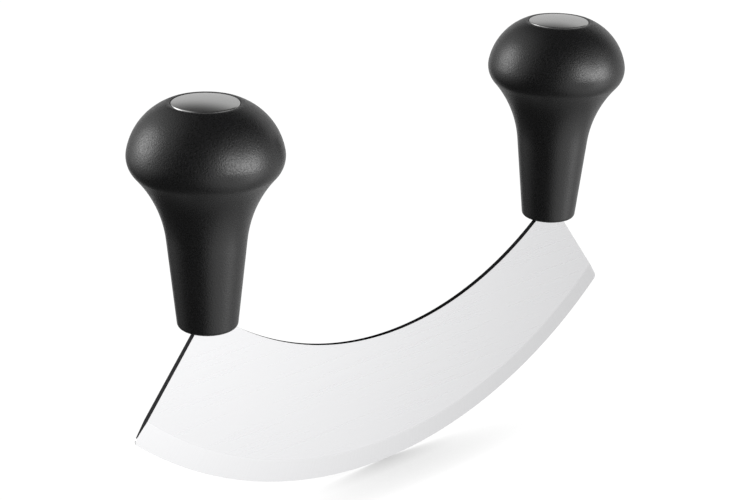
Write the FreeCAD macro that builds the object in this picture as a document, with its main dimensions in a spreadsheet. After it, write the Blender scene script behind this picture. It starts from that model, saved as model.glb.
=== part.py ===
"""Mezzaluna: a crescent blade with two knob handles, each drawn down on the blade by a rod and a nut.

Frame: millimetres, X along the blade, Y across it, Z up. The origin is the lowest point of the cutting
edge, midway between the handles. Left is the -X side.
"""
import FreeCAD
import Part
import Sketcher
import math
import os

SIZES = [
    ("blade_length", 180, "tip to tip, before the tips are rounded"),
    ("blade_depth", 40, "cutting edge to spine at mid-blade"),
    ("blade_thickness", 1.4, "ground plate"),
    ("edge_radius", 136, "rocking curve of the cutting edge"),
    ("bevel_width", 6.5, "ground bevel on each side, towards the centre of the edge curve"),
    ("edge_thickness", 0.12, "plate left at the honed edge"),
    ("tip_round", 1.5, "rounding of both tips, seen from the side"),
    ("horn_rise", 20, "handle's foot above the spine's lowest point"),
    ("horn_inner", 5.5, "handle's axis to the spine, at the foot"),
    ("horn_outer", 4, "handle's axis to the blade's end, at the foot"),
    ("tab_width", 7, "tab inside the handle"),
    ("tab_height", 16, "tab above the blade's shoulders"),
    ("grinding_allowance", 0.05, "rolled stock left on each side of the tabs"),
    ("handle_inset", 24.5, "blade's tip to the handle's axis"),
    ("handle_height", 60, "foot to rim"),
    ("foot_diameter", 15.7, "neck at the foot, before it is rounded"),
    ("foot_round", 1.3, "rounding of the foot"),
    ("neck_taper", 6, "degrees, each side"),
    ("flare_radius", 32, "hollow curve between neck and knob"),
    ("knob_diameter", 40, "widest place of the knob"),
    ("knob_edge_radius", 7, "curve at the widest place"),
    ("dome_radius", 16.5, "curve above the widest place"),
    ("dome_rise", 13.6, "rim above the widest place"),
    ("rim_lip", 0.9, "flat ring of plastic round the cap"),
    ("rim_round", 0.3, "rounding of the recess's mouth"),
    ("rod_diameter", 6, "tang rod and its thread"),
    ("rod_proud", 1.5, "thread standing out of the nut"),
    ("rod_chamfer", 0.8, "lead-in at the top of the rod"),
    ("rivet_diameter", 3, "rivet through rod and tab"),
    ("nut_width", 10, "across flats"),
    ("nut_height", 5, "nut"),
    ("washer_margin", 1, "washer past the nut's flats"),
    ("washer_thickness", 1.6, "washer"),
    ("socket_room", 1, "washer to the pocket's wall"),
    ("ledge_width", 1.8, "ring between nut pocket and recess, where the cap stands"),
    ("cap_skirt", 4, "cap's corner to the end of its skirt"),
    ("cap_wall", 0.8, "drawn sheet"),
    ("cap_crown", 1, "rise of the cap's top"),
    ("cap_corner", 0.5, "rounding of the cap's corner"),
    ("fit_clearance", 0.05, "between a piece and the hole or slot that it fills"),
    ("cut_overrun", 0.5, "how far a cut runs past the piece"),
]

# Levels above the handle's foot, and radii and widths that several pieces share, as sheet expressions.
FOOT_LEVEL = "(Sizes.blade_depth + Sizes.horn_rise)"
HANDLE_AXIS = "(Sizes.blade_length / 2 - Sizes.handle_inset)"
SPINE_REACH = f"({HANDLE_AXIS} - Sizes.horn_inner)"
SPINE_RADIUS = f"(({SPINE_REACH} ^ 2 + Sizes.horn_rise ^ 2) / (2 * Sizes.horn_rise))"
BEVEL_SLOPE = "((Sizes.blade_thickness - Sizes.edge_thickness) / 2 / Sizes.bevel_width)"
TAB_THICKNESS = "(Sizes.blade_thickness + 2 * Sizes.grinding_allowance)"
SLOT_THICKNESS = f"({TAB_THICKNESS} + 2 * Sizes.fit_clearance)"
SLOT_HEIGHT = "(Sizes.tab_height + Sizes.fit_clearance)"
RIVET_LEVEL = "(Sizes.tab_height / 2)"
RIVET_HOLE_RADIUS = "(Sizes.rivet_diameter / 2 + Sizes.fit_clearance)"
ROD_HOLE_RADIUS = "(Sizes.rod_diameter / 2 + Sizes.fit_clearance)"
WASHER_RADIUS = "(Sizes.nut_width / 2 + Sizes.washer_margin)"
POCKET_RADIUS = f"({WASHER_RADIUS} + Sizes.socket_room)"
RECESS_RADIUS = f"({POCKET_RADIUS} + Sizes.ledge_width)"
RIM_RADIUS = f"({RECESS_RADIUS} + Sizes.rim_lip)"
CAP_RADIUS = f"({RECESS_RADIUS} - Sizes.fit_clearance)"
LEDGE_LEVEL = "(Sizes.handle_height - Sizes.cap_skirt)"
NUT_LEVEL = f"({LEDGE_LEVEL} - Sizes.nut_height)"
WASHER_LEVEL = f"({NUT_LEVEL} - Sizes.washer_thickness)"
ROD_LENGTH = f"({LEDGE_LEVEL} + Sizes.rod_proud)"
KNOB_LEVEL = "(Sizes.handle_height - Sizes.dome_rise)"
KNOB_CENTRE = "(Sizes.knob_diameter / 2 - Sizes.knob_edge_radius)"
NUT_CORNER_RADIUS = "(Sizes.nut_width / 2 / cos(30 deg))"

SIDES = {"left": -1, "right": 1}
START, END, CENTRE = range(1, 4)
X_AXIS, Y_AXIS = range(-1, -3, -1)
ORIGIN = (X_AXIS, START)
TOUCH = 1e-4

doc = FreeCAD.newDocument("Mezzaluna")
sheet = doc.addObject("Spreadsheet::Sheet", "Sizes")
for row, (alias, number, note) in enumerate(SIZES, start=1):
    sheet.set(f"A{row}", alias)
    sheet.set(f"B{row}", str(number))
    sheet.setAlias(f"B{row}", alias)
    sheet.set(f"C{row}", note)
doc.recompute()


def value(expression):
    """The number that an expression on the sheet gives now."""
    found = sheet.evalExpression(expression)
    return float(getattr(found, "Value", found))


def point(x, y):
    return FreeCAD.Vector(x, y, 0)


def new_body(label):
    body = doc.addObject("PartDesign::Body", label)
    body.Label = label
    return body


def origin_plane(body, role):
    return next(feature for feature in body.Origin.OriginFeatures if feature.Role == role)


def stand_on_handle_axis(body, side, level):
    """Puts a body on its handle's axis, at a level above the handle's foot."""
    body.setExpression(".Placement.Base.x", f"{SIDES[side]} * {HANDLE_AXIS}")
    body.setExpression(".Placement.Base.z", f"{FOOT_LEVEL} + {level}")


def new_sketch(body, role, name):
    """A sketch on one of the body's own origin planes."""
    sketch = body.newObject("Sketcher::SketchObject", f"{body.Label}_{name}")
    sketch.AttachmentSupport = (origin_plane(body, role), "")
    sketch.MapMode = "FlatFace"
    return sketch


def line(sketch, start, end, construction=False):
    return sketch.addGeometry(Part.LineSegment(start, end), construction)


def circle(sketch, radius, centre=point(0, 0), construction=False):
    return sketch.addGeometry(Part.Circle(centre, FreeCAD.Vector(0, 0, 1), radius), construction)


def arc(sketch, centre, start, end):
    """A counter-clockwise arc, whose START is the first point and whose END is the second."""
    first = math.atan2(start.y - centre.y, start.x - centre.x)
    last = math.atan2(end.y - centre.y, end.x - centre.x)
    if last < first:
        last += 2 * math.pi
    whole = Part.Circle(centre, FreeCAD.Vector(0, 0, 1), (start - centre).Length)
    return sketch.addGeometry(Part.ArcOfCircle(whole, first, last), False)


def tie(sketch, kind, *references):
    sketch.addConstraint(Sketcher.Constraint(kind, *references))


def size(sketch, name, kind, references, expression):
    """A dimension whose value is bound to the sheet."""
    now = value(expression)
    if kind == "Angle":
        now = math.radians(now)
    index = sketch.addConstraint(Sketcher.Constraint(kind, *references, now))
    sketch.renameConstraint(index, name)
    sketch.setExpression(f"Constraints.{name}", expression)


def polygon(sketch, corners):
    """Lines round the corners, each joined to the next. Returns their indices."""
    lines = [line(sketch, a, b) for a, b in zip(corners, corners[1:] + corners[:1])]
    for this, following in zip(lines, lines[1:] + lines[:1]):
        tie(sketch, "Coincident", this, END, following, START)
    return lines


def rectangle(sketch, left, right, low, high):
    """An upright rectangle with each side at its own bound distance from the origin."""
    x0, x1, y0, y1 = [value(side) for side in (left, right, low, high)]
    corners = [point(x0, y0), point(x1, y0), point(x1, y1), point(x0, y1)]
    bottom, right_side, top, left_side = polygon(sketch, corners)
    for level in (bottom, top):
        tie(sketch, "Horizontal", level)
    for upright in (right_side, left_side):
        tie(sketch, "Vertical", upright)
    size(sketch, "left", "DistanceX", (*ORIGIN, left_side, START), left)
    size(sketch, "right", "DistanceX", (*ORIGIN, right_side, START), right)
    size(sketch, "low", "DistanceY", (*ORIGIN, bottom, START), low)
    size(sketch, "high", "DistanceY", (*ORIGIN, top, START), high)


def centred_circle(sketch, name, radius):
    round_line = circle(sketch, value(radius))
    tie(sketch, "Coincident", round_line, CENTRE, *ORIGIN)
    size(sketch, name, "Radius", (round_line,), radius)


def pad(body, sketch, length, side_type="One side"):
    feature = body.newObject("PartDesign::Pad", f"{sketch.Label}_pad")
    feature.Profile = sketch
    feature.SideType = side_type
    feature.setExpression("Length", length)
    return feature


def pocket_through(body, sketch):
    """Cuts the sketch's outline right through, both ways."""
    feature = body.newObject("PartDesign::Pocket", f"{sketch.Label}_pocket")
    feature.Profile = sketch
    feature.SideType = "Symmetric"
    feature.Type = "ThroughAll"
    return feature


def pocket_across(body, sketch, length):
    """Cuts the sketch's outline to a width shared by both sides of its plane."""
    feature = body.newObject("PartDesign::Pocket", f"{sketch.Label}_pocket")
    feature.Profile = sketch
    feature.SideType = "Symmetric"
    feature.setExpression("Length", length)
    return feature


def revolve(body, kind, sketch, axis):
    feature = body.newObject(f"PartDesign::{kind}", f"{sketch.Label}_turned")
    feature.Profile = sketch
    feature.ReferenceAxis = (sketch, [axis])
    feature.Angle = 360
    return feature


def mirror(body, originals, role):
    feature = body.newObject("PartDesign::Mirrored", f"{originals[0].Label}_mirrored")
    feature.Originals = originals
    feature.MirrorPlane = (origin_plane(body, role), [""])
    body.Tip = feature
    return feature


def soften(body, kind, base, wanted, amount):
    """A fillet or chamfer on the edges of the last feature that the test picks."""
    doc.recompute()
    names = [f"Edge{number}" for number, edge in enumerate(base.Shape.Edges, start=1) if wanted(edge)]
    feature = body.newObject(f"PartDesign::{kind}", f"{base.Label}_{kind.lower()}")
    feature.Base = (base, names)
    feature.setExpression("Radius" if kind == "Fillet" else "Size", amount)
    return feature


def ring_edge(radius, level):
    """A test for the circular edge of that radius, at that level, round the body's Z axis."""
    def wanted(edge):
        if edge.Degenerated or not isinstance(edge.Curve, Part.Circle):
            return False
        same_radius = abs(edge.Curve.Radius - value(radius)) < TOUCH
        return same_radius and abs(edge.Curve.Center.z - value(level)) < TOUCH
    return wanted


def make_blade():
    """Crescent plate, ground to a bevel along its convex edge, with a tab under each handle."""
    body = new_body("blade")
    outline = new_sketch(body, "XZ_Plane", "outline")
    draw_blade(outline)
    plate = pad(body, outline, "Sizes.blade_thickness", "Symmetric")
    soften(body, "Fillet", plate, is_blade_tip, "Sizes.tip_round")
    waste = new_sketch(body, "YZ_Plane", "bevel")
    draw_bevel(waste)
    bevel = revolve(body, "Groove", waste, "Axis0")
    mirror(body, [bevel], "XZ_Plane")

    tab_sketch = new_sketch(body, "XZ_Plane", "tab")
    rectangle(
        tab_sketch,
        f"{HANDLE_AXIS} - Sizes.tab_width / 2",
        f"{HANDLE_AXIS} + Sizes.tab_width / 2",
        FOOT_LEVEL,
        f"{FOOT_LEVEL} + Sizes.tab_height",
    )
    tab = pad(body, tab_sketch, TAB_THICKNESS, "Symmetric")
    hole_sketch = new_sketch(body, "XZ_Plane", "rivet_hole")
    level = f"{FOOT_LEVEL} + {RIVET_LEVEL}"
    hole = circle(hole_sketch, value(RIVET_HOLE_RADIUS), point(value(HANDLE_AXIS), value(level)))
    size(hole_sketch, "across", "DistanceX", (*ORIGIN, hole, CENTRE), HANDLE_AXIS)
    size(hole_sketch, "up", "DistanceY", (*ORIGIN, hole, CENTRE), level)
    size(hole_sketch, "bore", "Radius", (hole,), RIVET_HOLE_RADIUS)
    mirror(body, [tab, pocket_through(body, hole_sketch)], "YZ_Plane")
    return body


def is_blade_tip(edge):
    return abs(abs(edge.CenterOfMass.x) - value("Sizes.blade_length / 2")) < TOUCH


def draw_blade(sketch):
    """Edge arc, straight ends, flat horn tops under the handles and the spine's arc."""
    half_length = value("Sizes.blade_length / 2")
    radius = value("Sizes.edge_radius")
    tip_level = radius - math.sqrt(radius ** 2 - half_length ** 2)
    foot = value(FOOT_LEVEL)
    inner = value(SPINE_REACH)
    outer = value(f"{HANDLE_AXIS} + Sizes.horn_outer")
    left_tip, right_tip = point(-half_length, tip_level), point(half_length, tip_level)

    edge = arc(sketch, point(0, radius), left_tip, right_tip)
    right_end = line(sketch, right_tip, point(outer, foot))
    right_top = line(sketch, point(outer, foot), point(inner, foot))
    spine_centre = point(0, value(f"Sizes.blade_depth + {SPINE_RADIUS}"))
    spine = arc(sketch, spine_centre, point(-inner, foot), point(inner, foot))
    left_top = line(sketch, point(-inner, foot), point(-outer, foot))
    left_end = line(sketch, point(-outer, foot), left_tip)

    tie(sketch, "Coincident", edge, END, right_end, START)
    tie(sketch, "Coincident", right_end, END, right_top, START)
    tie(sketch, "Coincident", right_top, END, spine, END)
    tie(sketch, "Coincident", spine, START, left_top, START)
    tie(sketch, "Coincident", left_top, END, left_end, START)
    tie(sketch, "Coincident", left_end, END, edge, START)
    tie(sketch, "Horizontal", right_top)
    tie(sketch, "Symmetric", edge, START, edge, END, Y_AXIS)
    tie(sketch, "Symmetric", spine, START, spine, END, Y_AXIS)
    tie(sketch, "Symmetric", left_end, START, right_end, END, Y_AXIS)
    for curve in (edge, spine):
        tie(sketch, "PointOnObject", curve, CENTRE, Y_AXIS)
    size(sketch, "length", "DistanceX", (edge, START, edge, END), "Sizes.blade_length")
    size(sketch, "edge_curve", "Radius", (edge,), "Sizes.edge_radius")
    size(sketch, "edge_centre", "DistanceY", (*ORIGIN, edge, CENTRE), "Sizes.edge_radius")
    size(sketch, "spine_reach", "DistanceX", (*ORIGIN, spine, END), SPINE_REACH)
    size(sketch, "foot_level", "DistanceY", (*ORIGIN, spine, END), FOOT_LEVEL)
    size(sketch, "spine_curve", "Radius", (spine,), SPINE_RADIUS)
    size(sketch, "horn_reach", "DistanceX", (*ORIGIN, right_end, END), f"{HANDLE_AXIS} + Sizes.horn_outer")


def draw_bevel(sketch):
    """Section of the waste ground off one side of the edge, and the axis that it turns round."""
    face = "Sizes.blade_thickness / 2"
    out = f"-({face} + Sizes.cut_overrun * {BEVEL_SLOPE})"
    near_middle = f"-(Sizes.edge_thickness / 2 - Sizes.cut_overrun * {BEVEL_SLOPE})"
    low = "-Sizes.cut_overrun"
    high = "Sizes.bevel_width + Sizes.cut_overrun"
    centre = value("Sizes.edge_radius")
    axis = line(sketch, point(0, centre), point(1, centre), construction=True)
    tie(sketch, "Horizontal", axis)
    tie(sketch, "PointOnObject", axis, START, Y_AXIS)
    size(sketch, "axis_level", "DistanceY", (*ORIGIN, axis, START), "Sizes.edge_radius")
    size(sketch, "axis_length", "DistanceX", (axis, START, axis, END), "Sizes.blade_thickness")

    y0, y1, z0, z1 = [value(side) for side in (out, near_middle, low, high)]
    bottom, slope, side = polygon(sketch, [point(y0, z0), point(y1, z0), point(y0, z1)])
    tie(sketch, "Horizontal", bottom)
    tie(sketch, "Vertical", side)
    size(sketch, "out", "DistanceX", (*ORIGIN, bottom, START), out)
    size(sketch, "low", "DistanceY", (*ORIGIN, bottom, START), low)
    size(sketch, "near_middle", "DistanceX", (*ORIGIN, slope, START), near_middle)
    size(sketch, "high", "DistanceY", (*ORIGIN, side, START), high)


def handle_curves():
    """Where the arcs of the handle's side have their centres and meet, each tangent to the next."""
    taper = math.radians(value("Sizes.neck_taper"))
    up_neck = point(math.sin(taper), math.cos(taper))
    out_of_neck = point(math.cos(taper), -math.sin(taper))
    flare_radius = value("Sizes.flare_radius")
    knob_radius = value("Sizes.knob_edge_radius")
    dome_radius = value("Sizes.dome_radius")
    foot = point(value("Sizes.foot_diameter / 2"), 0)
    rim = point(value(RIM_RADIUS), value("Sizes.handle_height"))
    knob = point(value(KNOB_CENTRE), value(KNOB_LEVEL))

    # The flare's centre is one flare radius outside the neck, and both radii from the knob's centre.
    offset = foot + out_of_neck * flare_radius - knob
    along = offset.dot(up_neck)
    neck_length = -along - math.sqrt(along ** 2 - offset.dot(offset) + (flare_radius + knob_radius) ** 2)
    flare = knob + offset + up_neck * neck_length

    # The dome's centre is one dome radius from the rim, and the radii's difference from the knob's centre.
    apart = dome_radius - knob_radius
    to_rim = rim - knob
    span = to_rim.Length
    towards = to_rim * (1 / span)
    inward = point(-towards.y, towards.x)
    forward = (apart ** 2 - dome_radius ** 2 + span ** 2) / (2 * span)
    dome = knob + towards * forward + inward * math.sqrt(apart ** 2 - forward ** 2)

    flare_to_knob = knob + (flare - knob) * (knob_radius / (flare_radius + knob_radius))
    knob_to_dome = dome + (knob - dome) * (dome_radius / apart)
    return {
        "foot": foot,
        "neck_top": foot + up_neck * neck_length,
        "flare": flare,
        "flare_to_knob": flare_to_knob,
        "knob": knob,
        "knob_to_dome": knob_to_dome,
        "dome": dome,
        "rim": rim,
    }


def make_handle(side):
    """Moulded handle: neck, flare and knob, with the rod's bore, the nut pocket and the cap's recess."""
    body = new_body(f"{side}_handle")
    profile = new_sketch(body, "XZ_Plane", "profile")
    draw_handle(profile)
    turned = revolve(body, "Revolution", profile, "V_Axis")
    foot = soften(body, "Fillet", turned, ring_edge("Sizes.foot_diameter / 2", "0"), "Sizes.foot_round")
    soften(body, "Fillet", foot, ring_edge(RECESS_RADIUS, "Sizes.handle_height"), "Sizes.rim_round")
    slot = new_sketch(body, "XZ_Plane", "tab_slot")
    half_width = "(Sizes.tab_width / 2 + Sizes.fit_clearance)"
    rectangle(slot, f"-{half_width}", half_width, "-Sizes.cut_overrun", SLOT_HEIGHT)
    pocket_across(body, slot, SLOT_THICKNESS)
    stand_on_handle_axis(body, side, "0")
    return body


def draw_handle(sketch):
    """Half section: up the outside from the foot to the rim, then down through recess, pocket and bore."""
    at = handle_curves()
    bore, pocket, recess = value(ROD_HOLE_RADIUS), value(POCKET_RADIUS), value(RECESS_RADIUS)
    ledge, floor, top = value(LEDGE_LEVEL), value(WASHER_LEVEL), value("Sizes.handle_height")

    sole = line(sketch, point(bore, 0), at["foot"])
    neck = line(sketch, at["foot"], at["neck_top"])
    flare = arc(sketch, at["flare"], at["flare_to_knob"], at["neck_top"])
    knob = arc(sketch, at["knob"], at["flare_to_knob"], at["knob_to_dome"])
    dome = arc(sketch, at["dome"], at["knob_to_dome"], at["rim"])
    lip = line(sketch, at["rim"], point(recess, top))
    recess_wall = line(sketch, point(recess, top), point(recess, ledge))
    cap_ledge = line(sketch, point(recess, ledge), point(pocket, ledge))
    pocket_wall = line(sketch, point(pocket, ledge), point(pocket, floor))
    pocket_floor = line(sketch, point(pocket, floor), point(bore, floor))
    bore_wall = line(sketch, point(bore, floor), point(bore, 0))

    tie(sketch, "Coincident", sole, END, neck, START)
    tie(sketch, "Tangent", neck, END, flare, END)
    tie(sketch, "Tangent", flare, START, knob, START)
    tie(sketch, "Tangent", knob, END, dome, START)
    straight = [dome, lip, recess_wall, cap_ledge, pocket_wall, pocket_floor, bore_wall, sole]
    for this, following in zip(straight, straight[1:]):
        tie(sketch, "Coincident", this, END, following, START)
    for level in (sole, lip, cap_ledge, pocket_floor):
        tie(sketch, "Horizontal", level)
    for upright in (recess_wall, pocket_wall, bore_wall):
        tie(sketch, "Vertical", upright)
    tie(sketch, "PointOnObject", sole, START, X_AXIS)

    size(sketch, "bore", "DistanceX", (*ORIGIN, sole, START), ROD_HOLE_RADIUS)
    size(sketch, "foot", "DistanceX", (*ORIGIN, neck, START), "Sizes.foot_diameter / 2")
    size(sketch, "taper", "Angle", (neck,), "(90 - Sizes.neck_taper) * 1 deg")
    size(sketch, "flare", "Radius", (flare,), "Sizes.flare_radius")
    size(sketch, "knob_edge", "Radius", (knob,), "Sizes.knob_edge_radius")
    size(sketch, "knob_centre", "DistanceX", (*ORIGIN, knob, CENTRE), KNOB_CENTRE)
    size(sketch, "knob_level", "DistanceY", (*ORIGIN, knob, CENTRE), KNOB_LEVEL)
    size(sketch, "dome", "Radius", (dome,), "Sizes.dome_radius")
    size(sketch, "rim", "DistanceX", (*ORIGIN, lip, START), RIM_RADIUS)
    size(sketch, "top", "DistanceY", (*ORIGIN, lip, START), "Sizes.handle_height")
    size(sketch, "recess", "DistanceX", (*ORIGIN, recess_wall, START), RECESS_RADIUS)
    size(sketch, "ledge", "DistanceY", (*ORIGIN, cap_ledge, START), LEDGE_LEVEL)
    size(sketch, "pocket", "DistanceX", (*ORIGIN, pocket_wall, START), POCKET_RADIUS)
    size(sketch, "floor", "DistanceY", (*ORIGIN, pocket_floor, START), WASHER_LEVEL)


def make_rod(side):
    """Round rod, slotted at its foot to straddle the blade's tab. Its thread is a plain cylinder."""
    body = new_body(f"{side}_tang_rod")
    section = new_sketch(body, "XY_Plane", "section")
    centred_circle(section, "rod", "Sizes.rod_diameter / 2")
    bar = pad(body, section, ROD_LENGTH)
    soften(body, "Chamfer", bar, ring_edge("Sizes.rod_diameter / 2", ROD_LENGTH), "Sizes.rod_chamfer")
    slot = new_sketch(body, "YZ_Plane", "tab_slot")
    rectangle(slot, f"-{SLOT_THICKNESS} / 2", f"{SLOT_THICKNESS} / 2", "-Sizes.cut_overrun", SLOT_HEIGHT)
    pocket_through(body, slot)
    hole_sketch = new_sketch(body, "XZ_Plane", "rivet_hole")
    hole = circle(hole_sketch, value(RIVET_HOLE_RADIUS), point(0, value(RIVET_LEVEL)))
    tie(hole_sketch, "PointOnObject", hole, CENTRE, Y_AXIS)
    size(hole_sketch, "up", "DistanceY", (*ORIGIN, hole, CENTRE), RIVET_LEVEL)
    size(hole_sketch, "bore", "Radius", (hole,), RIVET_HOLE_RADIUS)
    pocket_through(body, hole_sketch)
    stand_on_handle_axis(body, side, "0")
    return body


def make_rivet(side):
    """Rivet across rod and tab, its ends domed to the rod's radius so that they stay within the bore."""
    body = new_body(f"{side}_tang_rivet")
    profile = new_sketch(body, "XY_Plane", "profile")
    dome, shank = value("Sizes.rod_diameter / 2"), value("Sizes.rivet_diameter / 2")
    shoulder = math.sqrt(dome ** 2 - shank ** 2)
    middle = point(0, 0)
    axis = line(profile, point(0, dome), point(0, -dome))
    low = arc(profile, middle, point(0, -dome), point(shank, -shoulder))
    flank = line(profile, point(shank, -shoulder), point(shank, shoulder))
    high = arc(profile, middle, point(shank, shoulder), point(0, dome))
    for this, following in ((axis, low), (low, flank), (flank, high), (high, axis)):
        tie(profile, "Coincident", this, END, following, START)
    for end in (low, high):
        tie(profile, "Coincident", end, CENTRE, *ORIGIN)
    tie(profile, "Equal", low, high)
    tie(profile, "Vertical", axis)
    tie(profile, "PointOnObject", axis, START, Y_AXIS)
    tie(profile, "Vertical", flank)
    size(profile, "dome", "Radius", (low,), "Sizes.rod_diameter / 2")
    size(profile, "shank", "DistanceX", (*ORIGIN, flank, START), "Sizes.rivet_diameter / 2")
    revolve(body, "Revolution", profile, "V_Axis")
    stand_on_handle_axis(body, side, RIVET_LEVEL)
    return body


def make_washer(side):
    body = new_body(f"{side}_washer")
    section = new_sketch(body, "XY_Plane", "section")
    centred_circle(section, "outside", WASHER_RADIUS)
    centred_circle(section, "hole", ROD_HOLE_RADIUS)
    pad(body, section, "Sizes.washer_thickness")
    stand_on_handle_axis(body, side, WASHER_LEVEL)
    return body


def make_nut(side):
    """Hexagon nut with its corners chamfered at 30 degrees on both faces."""
    body = new_body(f"{side}_nut")
    section = new_sketch(body, "XY_Plane", "section")
    radius = value(NUT_CORNER_RADIUS)
    angles = [math.radians(60 * turn) for turn in range(6)]
    flats = polygon(section, [point(radius * math.cos(a), radius * math.sin(a)) for a in angles])
    guide = circle(section, radius, construction=True)
    tie(section, "Coincident", guide, CENTRE, *ORIGIN)
    for flat in flats:
        tie(section, "PointOnObject", flat, START, guide)
    for flat in flats[1:]:
        tie(section, "Equal", flats[0], flat)
    tie(section, "PointOnObject", flats[0], START, X_AXIS)
    size(section, "corners", "Radius", (guide,), NUT_CORNER_RADIUS)
    centred_circle(section, "hole", ROD_HOLE_RADIUS)
    pad(body, section, "Sizes.nut_height", "Symmetric")
    waste = new_sketch(body, "XZ_Plane", "chamfer")
    draw_nut_chamfer(waste)
    mirror(body, [revolve(body, "Groove", waste, "V_Axis")], "XY_Plane")
    stand_on_handle_axis(body, side, f"({NUT_LEVEL} + Sizes.nut_height / 2)")
    return body


def draw_nut_chamfer(sketch):
    """Section of the waste turned off the corners, from the circle inside the flats outwards."""
    face = "Sizes.nut_height / 2"
    out = f"({NUT_CORNER_RADIUS} + Sizes.cut_overrun)"
    high = f"{face} + Sizes.cut_overrun"
    inner = "Sizes.nut_width / 2 - Sizes.cut_overrun / tan(30 deg)"
    low = f"{face} - ({out} - Sizes.nut_width / 2) * tan(30 deg)"
    x0, x1, z0, z1 = [value(side) for side in (inner, out, low, high)]
    slope, side, top = polygon(sketch, [point(x0, z1), point(x1, z0), point(x1, z1)])
    tie(sketch, "Vertical", side)
    tie(sketch, "Horizontal", top)
    size(sketch, "inner", "DistanceX", (*ORIGIN, slope, START), inner)
    size(sketch, "high", "DistanceY", (*ORIGIN, slope, START), high)
    size(sketch, "out", "DistanceX", (*ORIGIN, side, START), out)
    size(sketch, "low", "DistanceY", (*ORIGIN, side, START), low)


def make_cap(side):
    """Drawn cap: a shallow dome with a straight skirt that stands on the ledge in the knob's recess."""
    body = new_body(f"{side}_cap")
    profile = new_sketch(body, "XZ_Plane", "profile")
    radius, crown = value(CAP_RADIUS), value("Sizes.cap_crown")
    wall, skirt = value("Sizes.cap_wall"), value("Sizes.cap_skirt")
    dome_radius = (radius ** 2 + crown ** 2) / (2 * crown)
    middle = point(0, crown - dome_radius)
    inside = radius - wall
    inside_corner = point(inside, middle.y + math.sqrt((dome_radius - wall) ** 2 - inside ** 2))

    outer_wall = line(profile, point(radius, -skirt), point(radius, 0))
    outer_dome = arc(profile, middle, point(radius, 0), point(0, crown))
    axis = line(profile, point(0, crown), point(0, crown - wall))
    inner_dome = arc(profile, middle, inside_corner, point(0, crown - wall))
    inner_wall = line(profile, inside_corner, point(inside, -skirt))
    rim = line(profile, point(inside, -skirt), point(radius, -skirt))

    tie(profile, "Coincident", outer_wall, END, outer_dome, START)
    tie(profile, "Coincident", outer_dome, END, axis, START)
    tie(profile, "Coincident", axis, END, inner_dome, END)
    tie(profile, "Coincident", inner_dome, START, inner_wall, START)
    tie(profile, "Coincident", inner_wall, END, rim, START)
    tie(profile, "Coincident", rim, END, outer_wall, START)
    tie(profile, "Vertical", outer_wall)
    tie(profile, "Vertical", inner_wall)
    tie(profile, "Vertical", axis)
    tie(profile, "Horizontal", rim)
    tie(profile, "PointOnObject", axis, START, Y_AXIS)
    tie(profile, "PointOnObject", outer_wall, END, X_AXIS)
    tie(profile, "PointOnObject", outer_dome, CENTRE, Y_AXIS)
    tie(profile, "Coincident", outer_dome, CENTRE, inner_dome, CENTRE)
    size(profile, "outside", "DistanceX", (*ORIGIN, outer_wall, END), CAP_RADIUS)
    size(profile, "crown", "DistanceY", (*ORIGIN, axis, START), "Sizes.cap_crown")
    size(profile, "top_wall", "DistanceY", (axis, END, axis, START), "Sizes.cap_wall")
    size(profile, "side_wall", "DistanceX", (rim, START, rim, END), "Sizes.cap_wall")
    size(profile, "skirt", "DistanceY", (outer_wall, START, outer_wall, END), "Sizes.cap_skirt")
    turned = revolve(body, "Revolution", profile, "V_Axis")
    soften(body, "Fillet", turned, ring_edge(CAP_RADIUS, "0"), "Sizes.cap_corner")
    stand_on_handle_axis(body, side, "Sizes.handle_height")
    return body


def check(pieces):
    """Stops the build if a feature failed, a cut removed nothing, or a piece isn't one sound solid."""
    for item in doc.Objects:
        if "Invalid" in item.State or "Error" in item.State:
            raise RuntimeError(f"{item.Label} failed: {item.State}")
        if item.TypeId in ("PartDesign::Pocket", "PartDesign::Groove"):
            if item.Shape.Volume >= item.BaseFeature.Shape.Volume - TOUCH:
                raise RuntimeError(f"{item.Label} cuts nothing")
        if item.TypeId == "Sketcher::SketchObject" and not item.FullyConstrained:
            raise RuntimeError(f"{item.Label} isn't fully constrained")
    for piece in pieces:
        shape = piece.Shape
        if shape.isNull() or not shape.isValid() or len(shape.Solids) != 1:
            raise RuntimeError(f"{piece.Label} isn't one valid solid")


def main():
    pieces = [make_blade()]
    for make in (make_handle, make_rod, make_rivet, make_washer, make_nut, make_cap):
        for side in SIDES:
            pieces.append(make(side))
    doc.recompute()
    check(pieces)
    os.makedirs("parts", exist_ok=True)
    for piece in pieces:
        piece.Shape.exportStep(f"parts/{piece.Label}.step")
        print(f"{piece.Label}: {piece.Shape.Volume:.1f} mm3")


main()
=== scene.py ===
# %% [markdown]
# # A mezzaluna, dressed for the camera
# A mezzaluna is a rocking mincing knife: one crescent blade with a knob handle standing on each end.
# The CAD model already holds every piece in its place, so this lesson loads it as a fixed frame, models
# again the pieces that the eye sees, and gives each one the surface of its real material.

# %% Load the frame
import math

import bpy
from mathutils import Matrix, Vector


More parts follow.
